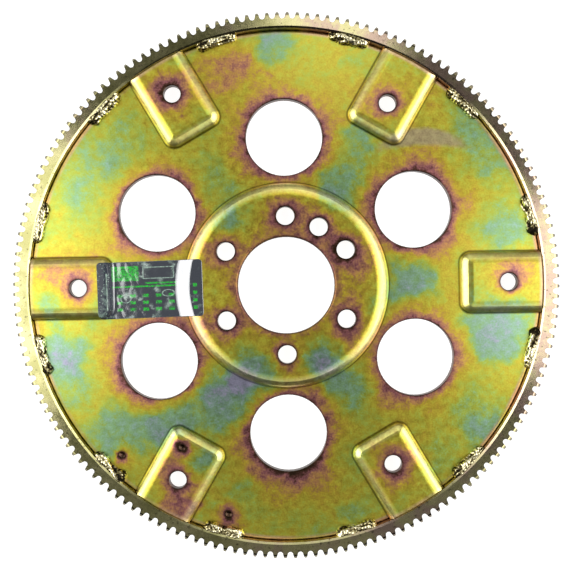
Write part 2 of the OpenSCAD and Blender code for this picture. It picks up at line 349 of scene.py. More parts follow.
class Wiring:
    """Short calls that add nodes to one node tree and join their sockets."""

    def __init__(self, tree):
        self.tree = tree

    def feed(self, socket, value):
        """Join a socket to an input, or set the input's own value."""
        if isinstance(value, bpy.types.NodeSocket):
            self.tree.links.new(value, socket)
        else:
            socket.default_value = value

    def node(self, kind, inputs=None, **settings):
        """Add a node with its settings and inputs."""
        made = self.tree.nodes.new(kind)
        for name, value in settings.items():
            setattr(made, name, value)
        for key, value in (inputs or {}).items():
            self.feed(made.inputs[key], value)
        return made

    def math(self, operation, *values):
        """Result of a Math node."""
        return self.node("ShaderNodeMath", dict(enumerate(values)), operation=operation).outputs[0]

    def vector_math(self, operation, *values):
        """Vector result of a Vector Math node."""
        return self.node("ShaderNodeVectorMath", dict(enumerate(values)), operation=operation).outputs[0]

    def length(self, vector):
        """Length of a vector."""
        return self.node("ShaderNodeVectorMath", {0: vector}, operation="LENGTH").outputs["Value"]

    def flat_length(self, x, y):
        """Length of a vector in a plane."""
        return self.length(self.combine(x, y, 0.0))

    def product(self, first, second):
        """Product of two values."""
        return self.math("MULTIPLY", first, second)

    def largest(self, values):
        """Largest of several values."""
        total = values[0]
        for value in values[1:]:
            total = self.math("MAXIMUM", total, value)
        return total

    def blend(self, share, first, second):
        """A value between two values."""
        return self.math("MULTIPLY_ADD", share, self.math("SUBTRACT", second, first), first)

    def combine(self, x, y, z):
        """A vector from three values."""
        return self.node("ShaderNodeCombineXYZ", {0: x, 1: y, 2: z}).outputs[0]

    def separate(self, vector):
        """The three values of a vector."""
        return self.node("ShaderNodeSeparateXYZ", {0: vector}).outputs

    def place(self):
        """Object coordinates, which are metres in the part's frame."""
        return self.node("ShaderNodeTexCoord").outputs["Object"]

    def noise(self, vector, size, detail=3.0, roughness=0.5):
        """Noise from 0 to 1 with features of a size in metres."""
        inputs = {"Vector": vector, "Scale": 1 / size, "Detail": detail, "Roughness": roughness}
        return self.node("ShaderNodeTexNoise", inputs).outputs[0]

    def noise_vector(self, vector, size, detail=2.0):
        """Noise that gives three values at once."""
        inputs = {"Vector": vector, "Scale": 1 / size, "Detail": detail}
        return self.node("ShaderNodeTexNoise", inputs).outputs[1]

    def span(self, value, low, high, to_low=0.0, to_high=1.0, smooth=True):
        """A value mapped from one span to another, held at the ends."""
        kind = "SMOOTHSTEP" if smooth else "LINEAR"
        inputs = {0: value, 1: low, 2: high, 3: to_low, 4: to_high}
        return self.node("ShaderNodeMapRange", inputs, interpolation_type=kind).outputs[0]

    def mix(self, share, first, second, blend="MIX"):
        """A mix of two colours."""
        inputs = {0: share, 6: as_colour(first), 7: as_colour(second)}
        return self.node("ShaderNodeMix", inputs, data_type="RGBA", blend_type=blend).outputs[2]

    def ramp(self, value, stops):
        """A colour ramp from pairs of place and colour."""
        made = self.node("ShaderNodeValToRGB", {0: value})
        elements = made.color_ramp.elements
        while len(elements) < len(stops):
            elements.new(1.0)
        for element, (place, colour) in zip(elements, stops):
            element.position = place
            element.color = as_colour(colour)
        return made.outputs[0]

    def group(self, tree, **inputs):
        """A placed node group, with inputs named by their sockets."""
        made = self.node("ShaderNodeGroup", node_tree=tree)
        for name, value in inputs.items():
            self.feed(made.inputs[name.replace("_", " ")], value)
        return made.outputs


def as_colour(value):
    """A colour with its fourth value, or the socket that was given."""
    return value if isinstance(value, bpy.types.NodeSocket) else (*value[:3], 1.0)


def new_group(name, inputs, outputs):
    """An empty shader node group with named sockets; returns its wiring, inputs and output node."""
    tree = bpy.data.node_groups.new(name, "ShaderNodeTree")
    for socket, kind in inputs.items():
        tree.interface.new_socket(socket, in_out="INPUT", socket_type=kind)
    for socket, kind in outputs.items():
        tree.interface.new_socket(socket, in_out="OUTPUT", socket_type=kind)
    start = tree.nodes.new("NodeGroupInput")
    end = tree.nodes.new("NodeGroupOutput")
    return Wiring(tree), start.outputs, end.inputs


def shared_group(name, build):
    """A node group that is built once and then reused."""
    return bpy.data.node_groups.get(name) or build(name)


def build_halo_group(name):
    """Halo round a ring of equal holes.

    The angle is folded onto the nearest hole, d is the distance from that hole's edge,
    and the halo is exp(-d / reach) outside the hole and 1 inside it.
    """
    wires, given, put = new_group(
        name,
        {
            "Place": "NodeSocketVector",
            "Holes": "NodeSocketFloat",
            "First angle": "NodeSocketFloat",
            "Circle": "NodeSocketFloat",
            "Radius": "NodeSocketFloat",
            "Reach": "NodeSocketFloat",
        },
        {"Halo": "NodeSocketFloat"},
    )
    x, y, _ = wires.separate(given["Place"])
    angle = wires.math("SUBTRACT", wires.math("ARCTAN2", y, x), given["First angle"])
    step = wires.math("DIVIDE", 2 * math.pi, given["Holes"])
    nearest = wires.product(wires.math("ROUND", wires.math("DIVIDE", angle, step)), step)
    folded = wires.math("SUBTRACT", angle, nearest)
    radius = wires.flat_length(x, y)
    along = wires.product(radius, wires.math("COSINE", folded))
    along = wires.math("SUBTRACT", along, given["Circle"])
    across = wires.product(radius, wires.math("SINE", folded))
    away = wires.flat_length(along, across)
    outside = wires.math("MAXIMUM", wires.math("SUBTRACT", away, given["Radius"]), 0.0)
    share = wires.math("DIVIDE", outside, given["Reach"])
    wires.feed(put["Halo"], wires.math("EXPONENT", wires.product(share, -1.0)))
    return wires.tree


def build_tint_group(name):
    """One soft round tint: the film gains Shift at the centre and nothing beyond Radius."""
    wires, given, put = new_group(
        name,
        {
            "Place": "NodeSocketVector",
            "Centre": "NodeSocketVector",
            "Radius": "NodeSocketFloat",
            "Shift": "NodeSocketFloat",
            "Film": "NodeSocketFloat",
        },
        {"Film": "NodeSocketFloat"},
    )
    away = wires.node(
        "ShaderNodeVectorMath", {0: given["Place"], 1: given["Centre"]}, operation="DISTANCE"
    ).outputs["Value"]
    share = wires.span(wires.math("DIVIDE", away, given["Radius"]), 0.25, 1.15, 1.0, 0.0)
    wires.feed(put["Film"], wires.math("MULTIPLY_ADD", share, given["Shift"], given["Film"]))
    return wires.tree


def build_raised_group(name):
    """Distances inside the foot of the hub and of the nearest pad, below 0 outside them.

    The angle is folded onto the nearest pad, a rectangle with round corners, and a and b are the distances
    from its end and its side, less the corner radius r: the pad's distance is
    r + max(min(a, b), 0) - length(min(a, 0), min(b, 0)).
    """
    wires, given, put = new_group(
        name,
        {"Place": "NodeSocketVector"},
        {"Hub": "NodeSocketFloat", "Pad": "NodeSocketFloat"},
    )
    x, y, _ = wires.separate(given["Place"])
    radius = wires.flat_length(x, y)
    wires.feed(put["Hub"], wires.math("SUBTRACT", HUB_FOOT_R, radius))
    step = 2 * math.pi / PADS
    angle = wires.math("ARCTAN2", y, x)
    nearest = wires.math("ROUND", wires.math("DIVIDE", angle, step))
    folded = wires.math("MULTIPLY_ADD", nearest, -step, angle)
    along = wires.product(radius, wires.math("COSINE", folded))
    across = wires.math("ABSOLUTE", wires.product(radius, wires.math("SINE", folded)))
    from_end = wires.math("SUBTRACT", along, PAD_START + PAD_CORNER_R)
    from_side = wires.math("SUBTRACT", PAD_WIDTH / 2 - PAD_CORNER_R, across)
    past_end = wires.math("MINIMUM", from_end, 0.0)
    past_side = wires.math("MINIMUM", from_side, 0.0)
    corner = wires.flat_length(past_end, past_side)
    deep = wires.math("MAXIMUM", wires.math("MINIMUM", from_end, from_side), 0.0)
    inside = wires.math("SUBTRACT", wires.math("ADD", deep, PAD_CORNER_R), corner)
    wires.feed(put["Pad"], inside)
    return wires.tree


def build_grain_group(name):
    """Fine mottling: a value about 0, made of two sizes of noise."""
    wires, given, put = new_group(
        name,
        {"Place": "NodeSocketVector", "Scale": "NodeSocketFloat"},
        {"Grain": "NodeSocketFloat"},
    )
    scaled = wires.vector_math("SCALE", given["Place"])
    wires.feed(scaled.node.inputs["Scale"], given["Scale"])
    fine = wires.noise(scaled, 1.0, 2.0)
    coarse = wires.noise(scaled, 3.7, 2.0)
    mean = wires.math("MULTIPLY_ADD", wires.math("ADD", fine, coarse), 0.5, -0.5)
    wires.feed(put["Grain"], mean)
    return wires.tree


def new_material(name, metallic=0.0):
    """A new material, its wiring and its shader node."""
    material = bpy.data.materials.new(name)
    material.use_nodes = True
    shader = material.node_tree.nodes["Principled BSDF"]
    shader.inputs["Metallic"].default_value = metallic
    return material, Wiring(material.node_tree), shader


def roughen(wires, shader, height, strength, depth):
    """Feed a height to the shader's normal."""
    inputs = {"Height": height, "Strength": strength, "Distance": depth}
    wires.feed(shader.inputs["Normal"], wires.node("ShaderNodeBump", inputs).outputs[0])


def mottling(wires, place, size):
    """Fine mottling about 0, with grains of a size in metres."""
    tree = shared_group("fine mottling", build_grain_group)
    return wires.group(tree, Place=place, Scale=1 / size)["Grain"]


def hole_halos(wires, place, stretch, rows):
    """Largest of the halos round every hole, with each reach stretched."""
    halo_tree = shared_group("hole halo", build_halo_group)
    parts = []
    for row in rows:
        halo = wires.group(
            halo_tree, Place=place, Holes=float(row.holes), First_angle=row.first, Circle=row.circle,
            Radius=row.radius, Reach=wires.product(stretch, row.reach),
        )["Halo"]
        parts.append(wires.product(wires.product(halo, row.weight), row.shown))
    return wires.largest(parts)


def hole_rows(wires, height):
    """Every hole of the plate; a blind drilling shows only above the face behind it."""
    sixth = math.pi / 6
    third = math.pi / 3
    dowel_angle = math.atan2(DOWEL_Y, DOWEL_X)
    dowel_circle = math.hypot(DOWEL_X, DOWEL_Y)
    rows = [
        HoleRow(6, sixth, WINDOW_CIRCLE_R, WINDOW_R, 6.4 * MM, 0.5),
        HoleRow(6, sixth, CRANK_CIRCLE_R, CRANK_HOLE_R, 6.2 * MM, 0.5),
        HoleRow(1, dowel_angle, dowel_circle, DOWEL_HOLE_R, 5.0 * MM, 0.44),
        HoleRow(3, 0.0, OUTER_CIRCLE_R, CONVERTER_HOLE_R, 7.0 * MM, 0.5),
        HoleRow(3, third, INNER_CIRCLE_R, CONVERTER_HOLE_R, 7.6 * MM, 0.5),
        HoleRow(1, 0.0, 0.0, PILOT_R, 6.6 * MM, 0.34),
    ]
    for distance, angle, behind in BALANCE_HOLES:
        shown = wires.math("GREATER_THAN", height, behind)
        # A blind drilling's strong, wide halo paints shade in and round the drilling.
        rows.append(HoleRow(1, math.radians(angle), distance, BALANCE_HOLE_R, 4.0 * MM, 0.75, shown))
    return rows


def smear_mask(wires, place):
    """A long soft smear: strongest inside a ragged, bent ellipse about SMEAR_CENTRE and 0 outside it."""
    x, y, _ = wires.separate(wires.vector_math("SUBTRACT", place, SMEAR_CENTRE))
    along = wires.math("DIVIDE", x, SMEAR_LENGTH)
    bend = wires.product(wires.math("POWER", along, 2.0), SMEAR_BEND)
    across = wires.math("DIVIDE", wires.math("ADD", y, bend), SMEAR_WIDTH)
    away = wires.flat_length(along, across)
    ragged = wires.math("MULTIPLY_ADD", wires.noise(place, 5 * MM, 4.0, 0.7), 0.5, away)
    return wires.span(ragged, 0.8, 1.3, 0.78, 0.0)


def film_thickness(wires, settings, place, drift, rows):
    """Thickness of the plating's film: soft patches and tints, thinner in a ragged halo round each hole."""
    half = (0.5, 0.5, 0.5)
    warp_reach = (30 * MM, 30 * MM, 0.0)
    patch_fray = (9 * MM, 9 * MM, 0.0)
    halo_fray = (7 * MM, 7 * MM, 0.0)
    warp = wires.vector_math("SUBTRACT", wires.noise_vector(place, 22 * MM, 3.0), half)
    frayed = wires.vector_math("SUBTRACT", wires.noise_vector(place, 5 * MM, 3.0), half)
    bent = wires.vector_math("MULTIPLY_ADD", warp, warp_reach, place)
    bent = wires.vector_math("MULTIPLY_ADD", frayed, patch_fray, bent)
    flat = wires.vector_math("MULTIPLY", bent, (1.0, 1.0, 0.0))
    patches = wires.noise(bent, settings.patch_size, 4.0, 0.6)
    blotches = wires.noise(place, 8 * MM, 4.0, 0.62)
    film = wires.span(patches, 0.3, 0.7, 0.465, 0.7, smooth=False)
    film = wires.math("MULTIPLY_ADD", wires.math("SUBTRACT", blotches, 0.5), 0.34, film)
    tint_tree = shared_group("soft tint", build_tint_group)
    for x, y, radius, shift in (*COOL_TINTS, *WARM_TINTS):
        centre = (x * MM, y * MM, 0.0)
        film = wires.group(
            tint_tree, Place=flat, Centre=centre, Radius=radius * MM, Shift=shift, Film=film
        )["Film"]
    uneven = wires.vector_math("MULTIPLY_ADD", frayed, halo_fray, place)
    stretch = wires.span(drift, 0.32, 0.68, 0.55, 1.9, smooth=False)
    return wires.math("SUBTRACT", film, hole_halos(wires, uneven, stretch, rows))


def film_colour(wires, settings, film):
    """Colour of the plating at a thickness of its film, from near black at a hole to violet where it is
    thick.
    """
    thin = FILM_STOPS[0][1]
    thick = FILM_STOPS[-1][1]
    shown = wires.span(film, thin, thick, smooth=False)
    stops = [((at - thin) / (thick - thin), getattr(settings, name)) for name, at in FILM_STOPS]
    return wires.ramp(shown, stops)


def shoulder_highlight(wires, raised, height):
    """Share of the painted highlight, a pale band on the shoulders of the hub and the pads."""
    above_foot = wires.span(height, SHEET_Z + 0.5 * MM, SHEET_Z + 1.8 * MM)
    hub_rim = wires.span(raised["Hub"], 4.0 * MM, 8.5 * MM, 0.42, 0.0)
    pad_rim = wires.span(raised["Pad"], 3.5 * MM, 7.5 * MM, 0.36, 0.0)
    on_hub = wires.math("GREATER_THAN", raised["Hub"], 0.0)
    on_pad = wires.math("GREATER_THAN", raised["Pad"], 0.0)
    crests = [wires.product(on_hub, hub_rim), wires.product(on_pad, pad_rim)]
    return wires.product(above_foot, wires.largest(crests))


def foot_shade(wires, raised, height):
    """Share of a thin dark line at the foot of the hub and the pads, painted shade in the crease there, on
    the front only.
    """
    lines = []
    for area in ("Hub", "Pad"):
        away = wires.math("ABSOLUTE", raised[area])
        lines.append(wires.span(away, 0.2 * MM, 1.0 * MM, 0.6, 0.0))
    front = wires.math("GREATER_THAN", height, SHEET_Z - 0.5 * MM)
    return wires.product(wires.largest(lines), front)


def rounded_crests(wires, raised, height):
    """Height that rounds the look of the crests of the hub and the pads, on the front only."""
    front = wires.math("GREATER_THAN", height, (SHEET_Z + TOP_Z) / 2)
    hub = wires.span(raised["Hub"], 2.0 * MM, 9.2 * MM, 0.0, 1.25 * MM)
    pad = wires.span(raised["Pad"], 2.2 * MM, 8.6 * MM, 0.0, 1.0 * MM)
    return wires.product(front, wires.math("ADD", hub, pad))


def plated_sheet(settings):
    """Yellow zinc plating with painted light: a reflection on the rounded rim, a highlight on the shoulders,
    and shade as dark lines at the feet and the hole edges.
    """
    material, wires, shader = new_material("plated_sheet", 1.0)
    place = wires.place()
    x, y, z = wires.separate(place)
    drift = wires.noise(place, 30 * MM, 2.0)
    from_above = wires.vector_math("MULTIPLY", place, (1.0, 1.0, 0.15))
    grain = mottling(wires, from_above, settings.grain_size)
    rows = hole_rows(wires, z)
    film = film_thickness(wires, settings, place, drift, rows)
    colour = film_colour(wires, settings, wires.math("MULTIPLY_ADD", grain, 0.42, film))
    colour = wires.mix(smear_mask(wires, place), colour, settings.smear)

    radius = wires.flat_length(x, y)
    # A pale band near the edge of the sheet paints the reflection of its rounded rim.
    rim_sheen = wires.span(radius, PLATE_R - 3.4 * MM, PLATE_R - 1.2 * MM, 0.0, 0.8)
    rim_sheen = wires.product(rim_sheen, wires.span(drift, 0.35, 0.6, 0.35, 1.0))
    colour = wires.mix(rim_sheen, colour, settings.rim)
    raised = wires.group(shared_group("raised areas", build_raised_group), Place=place)
    # A pale band on the shoulders of the hub and the pads paints their highlight.
    colour = wires.mix(shoulder_highlight(wires, raised, z), colour, settings.shoulder_highlight_colour)
    # A dark line round the edge of every hole paints shade on the hole's rim.
    edge_shade = []
    for row in rows:
        width = LARGE_EDGE if row.radius > WINDOW_R - MM else SMALL_EDGE
        edge_shade.append(row._replace(reach=width, weight=1.0))
    edge = wires.span(hole_halos(wires, place, 1.0, edge_shade), 0.2, 0.95, 0.0, 0.9)
    # The darkest film colour paints shade on the hole rims and in the creases at the feet.
    colour = wires.mix(wires.largest([edge, foot_shade(wires, raised, z)]), colour, settings.soot_and_shade)

    shade = wires.span(grain, -0.25, 0.25, 0.74, 1.2, smooth=False)
    dappled = wires.mix(1.0, colour, wires.combine(shade, shade, shade), "MULTIPLY")
    wires.feed(shader.inputs["Base Color"], dappled)
    wires.feed(shader.inputs["Roughness"], wires.math("MULTIPLY_ADD", grain, 0.22, settings.roughness))
    shader.inputs["Coat Weight"].default_value = 0.17
    shader.inputs["Coat Roughness"].default_value = 0.15
    rounding = rounded_crests(wires, raised, z)
    roughen(wires, shader, wires.math("MULTIPLY_ADD", grain, 0.03 * MM, rounding), 1.0, 1.0)
    return material


def tooth_edge_shade(wires, place, radius):
    """Dark edges of the teeth, painted shade on their flanks: 1 at a flank and 0 further in than EDGE_WIDTH.

    The angle is folded onto the nearest tooth, whose half width grows inward by tan(TOOTH_SLOPE).
    """
    x, y, _ = wires.separate(place)
    step = 2 * math.pi / TEETH
    turns = wires.math("DIVIDE", wires.math("ARCTAN2", y, x), step)
    shifted = wires.math("SUBTRACT", turns, 0.5)
    folded = wires.math("SUBTRACT", shifted, wires.math("ROUND", shifted))
    across = wires.product(wires.math("ABSOLUTE", folded), wires.product(radius, step))
    from_tip = wires.math("SUBTRACT", TIP_R, radius)
    half = wires.math("MULTIPLY_ADD", from_tip, math.tan(TOOTH_SLOPE), TOOTH_TIP_W / 2)
    inside = wires.math("SUBTRACT", half, across)
    on_tooth = wires.span(radius, ROOT_R + 0.2 * MM, ROOT_R + 1.2 * MM)
    return wires.product(on_tooth, wires.span(inside, 0.0, EDGE_WIDTH, 1.0, 0.0))


def machined_ring(settings):
    """Plated ring: straw colour with olive and rose patches, turning marks, dirt specks, and painted shade
    on the teeth's flanks, tips and lower faces.
    """
    material, wires, shader = new_material("machined_ring", 1.0)
    place = wires.place()
    patches = wires.noise(place, 30 * MM, 4.0, 0.6)
    grain = mottling(wires, place, 0.9 * MM)
    x, y, z = wires.separate(place)
    warmth = wires.span(x, -100 * MM, 150 * MM, -0.08, 0.1)
    level = wires.math("MULTIPLY_ADD", grain, 0.35, wires.math("ADD", patches, warmth))
    colour = wires.ramp(level, [(0.32, settings.olive), (0.5, settings.straw), (0.66, settings.rose)])
    radius = wires.flat_length(x, y)
    # Darker lower down on the teeth: painted shade.
    outer = wires.span(radius, ROOT_R - 0.5 * MM, ROOT_R + 0.5 * MM)
    depth = wires.product(outer, wires.span(z, TOP_Z - 4 * MM, TOP_Z - 0.6 * MM, 0.85, 0.0))
    specks = wires.span(wires.noise(place, 2.4 * MM, 3.0), 0.58, 0.74, 0.0, 0.7)
    # Dark edges of the teeth paint shade on their flanks.
    edge_shade = wires.product(tooth_edge_shade(wires, place, radius), 0.75)
    # Darker towards the tips: painted shade that dims the reflection of the tips' facets.
    tip_shade = wires.span(radius, TIP_R - 3.6 * MM, TIP_R - 1.9 * MM, 0.0, 0.8)
    dirt_and_shade = wires.largest([depth, specks, edge_shade, tip_shade])
    wires.feed(shader.inputs["Base Color"], wires.mix(dirt_and_shade, colour, settings.grime_and_shade))
    marks = wires.noise(wires.combine(radius, 0.0, 0.0), settings.turning_pitch, 2.0)
    wires.feed(shader.inputs["Roughness"], wires.math("MULTIPLY_ADD", grain, 0.2, settings.roughness))
    roughen(wires, shader, wires.math("MULTIPLY_ADD", grain, 0.8, marks), 0.2, 0.1 * MM)
    return material


def weld_metal(settings):
    """Lumps with a painted highlight, and tarnish, slag and painted shade between them; the attribute runs
    from valleys to lumps.
    """
    material, wires, shader = new_material("weld_metal", 1.0)
    crest = wires.node("ShaderNodeAttribute", attribute_name="crest").outputs["Fac"]
    place = wires.place()
    specks = wires.noise(place, 0.9 * MM, 3.0)
    level = wires.math("MULTIPLY_ADD", wires.math("SUBTRACT", specks, 0.5), 0.7, crest)
    colour = wires.ramp(level, [(0.22, settings.valley_shade_and_slag), (0.42, settings.flank), (0.62, settings.crest)])
    wires.feed(shader.inputs["Base Color"], colour)
    wires.feed(shader.inputs["Roughness"], wires.span(level, 0.2, 0.7, 0.5, 0.16, smooth=False))
    roughen(wires, shader, specks, 0.5, 0.2 * MM)
    return material


class FilmPrint:
    """Printed shapes on the film's own UV, each a mask from 0 to 1."""

    def __init__(self, wires):
        self.wires = wires
        self.u, self.v, _ = wires.separate(wires.node("ShaderNodeUVMap", uv_map="film").outputs[0])

    def between(self, value, low, high, soft=0.006):
        """1 between two values, with soft ends."""
        rise = self.wires.span(value, low - soft, low + soft)
        fall = self.wires.span(value, high - soft, high + soft, 1.0, 0.0)
        return self.wires.product(rise, fall)

    def field(self, left, right, low, high):
        """A plain rectangle."""
        return self.wires.product(self.between(self.u, left, right), self.between(self.v, low, high))

    def cells(self, value, low, high, count):
        """Place from 0 to 1 within each of several equal cells."""
        scaled = self.wires.product(self.wires.math("SUBTRACT", value, low), count / (high - low))
        return self.wires.math("FRACT", scaled)

    def ticks(self, left, right, low, high, columns, rows):
        """Columns and rows of small ticks."""
        column = self.between(self.cells(self.u, left, right, columns), 0.3, 0.74, 0.05)
        row = self.between(self.cells(self.v, low, high, rows), 0.25, 0.7, 0.08)
        tick = self.wires.product(column, row)
        return self.wires.product(tick, self.field(left, right, low, high))

    def oval(self, u_at, v_at, u_half, v_half):
        """The outline of an ellipse."""
        across = self.wires.math("DIVIDE", self.wires.math("SUBTRACT", self.u, u_at), u_half)
        up = self.wires.math("DIVIDE", self.wires.math("SUBTRACT", self.v, v_at), v_half)
        return self.between(self.wires.flat_length(across, up), 0.86, 1.06, 0.08)


def printed_film(settings):
    """Glossy dark film printed with plain green fields, thin lines and rows of ticks."""
    material, wires, shader = new_material("printed_film")
    ink = FilmPrint(wires)
    greens = wires.largest([
        ink.field(0.13, 0.38, 0.66, 0.92),
        ink.field(0.13, 0.74, 0.545, 0.575),
        ink.field(0.44, 0.74, 0.60, 0.63),
        ink.ticks(0.13, 0.75, 0.1, 0.46, 5, 3),
        ink.ticks(0.88, 0.97, 0.1, 0.62, 1, 4),
    ])
    lines = wires.largest([
        ink.oval(0.25, 0.35, 0.05, 0.075),
        ink.oval(0.66, 0.43, 0.06, 0.06),
        ink.field(0.085, 0.093, 0.16, 0.8),
        ink.field(0.42, 0.72, 0.885, 0.9),
        ink.field(0.42, 0.72, 0.69, 0.705),
        ink.field(0.42, 0.428, 0.69, 0.9),
        ink.field(0.712, 0.72, 0.69, 0.9),
    ])
    place = wires.place()
    wear = wires.span(wires.noise(place, 1.6 * MM, 4.0, 0.7), 0.36, 0.62, 0.25, 1.0)
    greens = wires.product(greens, wear)
    lines = wires.product(lines, wear)
    cloudy = wires.span(wires.noise(place, 9 * MM, 4.0, 0.65), 0.52, 0.72, 0.0, 0.5)
    # Pale flecks near the outer end paint glints of the crumpled film.
    fleck_glints = wires.span(wires.noise(place, 1.1 * MM, 3.0, 0.65), 0.6, 0.68, 0.0, 0.9)
    fleck_glints = wires.product(fleck_glints, wires.span(ink.u, 0.1, 0.15, 1.0, 0.0))
    ground = wires.mix(wires.largest([cloudy, fleck_glints]), settings.film, settings.pale_ink_and_glint)
    inked = wires.mix(greens, ground, settings.green)
    wires.feed(shader.inputs["Base Color"], wires.mix(lines, inked, settings.pale_ink_and_glint))
    wires.feed(shader.inputs["Roughness"], wires.span(cloudy, 0.0, 0.5, 0.1, 0.28))
    shader.inputs["IOR"].default_value = settings.gloss
    glossy = wires.span(ink.u, 0.12, 0.16)
    wires.feed(shader.inputs["Specular IOR Level"], wires.span(glossy, 0.0, 1.0, 0.06, 0.5))
    wires.feed(shader.inputs["Coat Weight"], wires.span(glossy, 0.0, 1.0, 0.1, 0.6))
    shader.inputs["Coat Roughness"].default_value = 0.06
    roughen(wires, shader, wires.noise(place, 3.5 * MM, 2.0), 0.18, 0.3 * MM)
    return material


def mesh_piece(name, points, faces, material):
    """A smooth mesh object at the origin, with its place in its vertices."""
    mesh = bpy.data.meshes.new(name)
    mesh.from_pydata(points.reshape(-1, 3).tolist(), [], faces)
    mesh.polygons.foreach_set("use_smooth", np.ones(len(mesh.polygons), bool))
    mesh.materials.append(material)
    mesh.update()
    piece = bpy.data.objects.new(name, mesh)
    bpy.context.scene.collection.objects.link(piece)
    return piece


def finish_node(name, material):
    """Give a CAD node its material."""
    for slot in frame["nodes"][name].material_slots:
        slot.material = material


def waves(points, wavelength, count, seed):
    """Smooth irregular heights, about -1 to 1: the scaled sum of sines along random directions."""
    draw = np.random.default_rng(seed)
    directions = draw.normal(size=(count, 3))
    directions /= np.linalg.norm(directions, axis=1, keepdims=True)
    pitch = draw.uniform(0.75, 1.35, count) * wavelength
    phases = draw.uniform(0, 2 * math.pi, count)
    turns = points @ (directions / pitch[:, None]).T * 2 * math.pi + phases
    return np.sin(turns).sum(-1) / math.sqrt(count)


def smooth_step(value, low, high):
    """0 below low, 1 above high, and a soft s-curve between them."""
    share = np.clip((value - low) / (high - low), 0, 1)
    return share * share * (3 - 2 * share)


def weld_shape(settings, middle, seed):
    """Points of one bead, and its share of painted light: about 0 in the valleys, which take painted shade,
    and 1 on the lumps, which take a painted highlight.

    A closed section is carried along the corner between the sheet and the ring's bore. In the open quarter
    it is an ellipse, width by height, and elsewhere it shrinks to a root inside the metal. Lumps drawn out
    along the bead roughen it, faint bowed ripples follow cos(2 pi x / pitch), and the ends round off
    like a drop.
    """
    steps, turns = 170, 64
    root = 0.7 * MM
    sunk = 0.2 * MM
    toe = 4.5 * MM
    half = settings.length / 2
    along = np.linspace(-1, 1, steps)[:, None] * half
    angle = np.linspace(0, 2 * math.pi, turns, endpoint=False)[None, :]
    draw = np.random.default_rng(seed)
    open_share = smooth_step(angle, math.radians(62), math.radians(90))
    open_share = open_share * (1 - smooth_step(angle, math.radians(184), math.radians(212)))
    drop = np.clip((np.abs(along) - (half - toe)) / toe, 0, 1)
    taper = np.sqrt(np.maximum(1 - drop ** 2, 0))
    outward = np.cos(angle) * settings.width
    upward = np.sin(angle) * settings.height
    local = np.stack(np.broadcast_arrays(along, outward, upward), -1)
    slow = waves(local * (1, 0, 0), 13 * MM, 6, seed + 100)
    streaks = waves(local * (0.32, 1, 1), 2.6 * MM, 18, seed + 200)
    fine = waves(local * (0.6, 1, 1), 1.3 * MM, 24, seed + 300)
    bow = 1.6 * MM * ((angle - math.radians(137)) / math.radians(45)) ** 2
    pull = 0.6 * waves(local * (1, 0, 0), 9 * MM, 5, seed + 400)
    ripple = np.cos(2 * math.pi * (along + bow) / settings.ripple_pitch + pull)
    blob_end = draw.choice((-1, 1)) * (half - 0.8 * toe)
    blob = draw.uniform(0.2, 0.9) * np.exp(-((along - blob_end) / (2.6 * MM)) ** 2)
    rise = settings.ripple_height * ripple + settings.lump_height * (streaks + 0.4 * fine)
    size = 1 + 0.1 * slow + 0.16 * blob
    bulk = np.sqrt(outward ** 2 + upward ** 2) * size
    reach = (root + (bulk + rise - root) * open_share) * taper
    radius = RING_BORE_R + sunk + reach * np.cos(angle)
    height = np.minimum(SHEET_Z - sunk + reach * np.sin(angle), TOP_Z - 0.02 * MM)
    turn = middle + along / RING_BORE_R
    points = np.stack((radius * np.cos(turn), radius * np.sin(turn), height), -1)
    # The colour follows the lumps' height: a painted highlight on them and painted shade in the valleys.
    crest = 0.52 + 0.06 * ripple + 0.27 * streaks + 0.2 * fine - 0.5 * blob
    return points, np.broadcast_to(crest, reach.shape)


def tube_faces(steps, turns):
    """Quads of a tube of rings, closed at each end by the ring's own face."""
    ring = np.arange(steps - 1)[:, None] * turns
    here = np.arange(turns)[None, :]
    after = (here + 1) % turns
    quads = np.stack((ring + here, ring + turns + here, ring + turns + after, ring + after), -1)
    first = np.arange(turns)
    last = (steps - 1) * turns + np.arange(turns)[::-1]
    return [*quads.reshape(-1, 4).tolist(), first.tolist(), last.tolist()]


def shoulder_height(inside):
    """Height of a raised area at a distance inside its foot: an arc of SHOULDER_R, cut by the flat top."""
    rise = TOP_Z - SHEET_Z
    low = SHOULDER_R - rise - SHOULDER_CROWN
    run = math.sqrt(SHOULDER_R ** 2 - low ** 2)
    arc = np.sqrt(np.maximum(SHOULDER_R ** 2 - np.clip(run - inside, 0, SHOULDER_R) ** 2, 0)) - low
    return np.where(inside > 0, np.minimum(arc, rise), 0)


def bridge_height(inside):
    """Height of a straight ramp of BRIDGE_SLOPE from a touch on the shoulder's arc down to the sheet."""
    rise = TOP_Z - SHEET_Z
    run = math.sqrt(SHOULDER_R ** 2 - (SHOULDER_R - rise - SHOULDER_CROWN) ** 2)
    touch_at = run - SHOULDER_R * math.sin(BRIDGE_SLOPE)
    touch_height = rise + SHOULDER_CROWN - SHOULDER_R * (1 - math.cos(BRIDGE_SLOPE))
    ramp = touch_height + (inside - touch_at) * math.tan(BRIDGE_SLOPE)
    return np.where(inside < touch_at, np.maximum(ramp, 0), 0)


def bed_height(x, y):
    """Height of the bed under the film: the bridged shoulder of the hub or the inner end of the pad."""
    from_foot = HUB_FOOT_R - np.hypot(x, y)
    hub = np.maximum(shoulder_height(from_foot), bridge_height(from_foot))
    along = x * math.cos(STICKER_PAD_ANGLE) + y * math.sin(STICKER_PAD_ANGLE)
    from_end = along - PAD_START
    from_side = PAD_WIDTH / 2 - np.abs(y)
    corner = np.hypot(np.minimum(from_end - PAD_CORNER_R, 0), np.minimum(from_side - PAD_CORNER_R, 0))
    inside = np.where(corner > 0, PAD_CORNER_R - corner, np.minimum(from_end, from_side))
    return SHEET_Z + np.maximum(hub, shoulder_height(inside))


def softened(heights, passes):
    """Heights averaged along the film again and again, with the ends held."""
    for _ in range(passes):
        inner = (heights[:-2] + heights[1:-1] + heights[2:]) / 3
        heights = np.concatenate((heights[:1], inner, heights[-1:]))
    return heights


